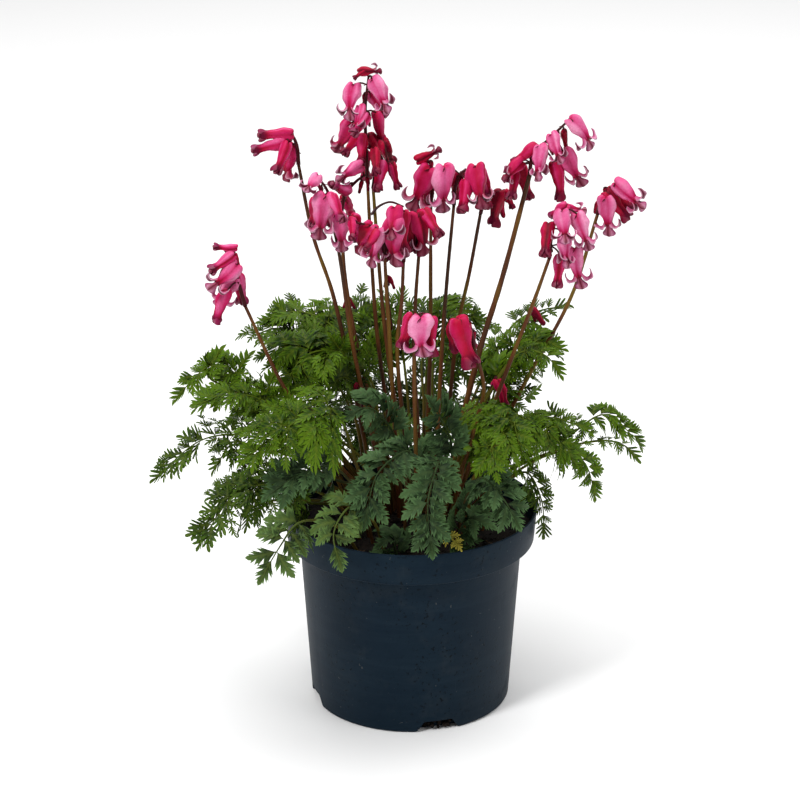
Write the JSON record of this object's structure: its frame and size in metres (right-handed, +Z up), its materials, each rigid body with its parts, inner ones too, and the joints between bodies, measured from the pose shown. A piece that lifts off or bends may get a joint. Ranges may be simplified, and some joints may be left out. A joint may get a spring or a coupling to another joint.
{
  "type": "potted bleeding heart plant",
  "caption": "Fern-leaved bleeding heart in a round plastic nursery pot, with reddish stems that carry clusters of nodding pink and crimson heart flowers above lacy leaves.",
  "frame": {"origin": "middle of the pot's flat base, on the surface that it stands on", "axes": "+Z up along the pot's axis; +X to the right and +Y to the back as the plant's fuller side is looked at"},
  "size_m": [0.3276, 0.2674, 0.4252],
  "materials": {
    "pot_plastic": "satin",
    "peat": "matte",
    "stem": "satin",
    "petal": "satin",
    "leaf_green": "satin",
    "leaf_blue_green": "matte"
  },
  "bodies": {
    "root": {"pot": "pot_plastic", "soil": "peat", "flower_stem_01": "stem", "flower_stem_02": "stem", "flower_stem_03": "stem", "flower_stem_04": "stem", "flower_stem_05": "stem", "flower_stem_06": "stem", "flower_stem_07": "stem", "flower_stem_08": "stem", "flower_stem_09": "stem", "flower_stem_10": "stem", "flower_stem_11": "stem", "flower_stem_12": "stem", "flower_stem_13": "stem", "flower_stem_14": "stem", "flower_stem_15": "stem", "flower_stem_16": "stem", "flower_stem_17": "stem", "flower_cluster_01": "petal", "flower_cluster_02": "petal", "flower_cluster_03": "petal", "flower_cluster_04": "petal", "flower_cluster_05": "petal", "flower_cluster_06": "petal", "flower_cluster_07": "petal", "flower_cluster_08": "petal", "flower_cluster_09": "petal", "flower_cluster_10": "petal", "flower_cluster_11": "petal", "flower_cluster_12": "petal", "flower_cluster_13": "petal", "flower_cluster_14": "petal", "flower_cluster_15": "petal", "flower_cluster_16": "petal", "flower_cluster_17": "petal", "leaf_01": "leaf_green", "leaf_02": "leaf_green", "leaf_03": "leaf_green", "leaf_04": "leaf_green", "leaf_05": "leaf_green", "leaf_06": "leaf_blue_green", "leaf_07": "leaf_blue_green", "leaf_08": "leaf_blue_green", "leaf_09": "leaf_blue_green", "leaf_10": "leaf_blue_green", "leaf_11": "leaf_blue_green", "leaf_12": "leaf_green", "leaf_13": "leaf_green", "leaf_14": "leaf_green", "leaf_15": "leaf_green", "leaf_16": "leaf_blue_green", "leaf_17": "leaf_green", "leaf_18": "leaf_green", "leaf_19": "leaf_green", "leaf_20": "leaf_green", "leaf_21": "leaf_green", "leaf_22": "leaf_green", "leaf_23": "leaf_green", "leaf_24": "leaf_green"}
  },
  "joints": []
}
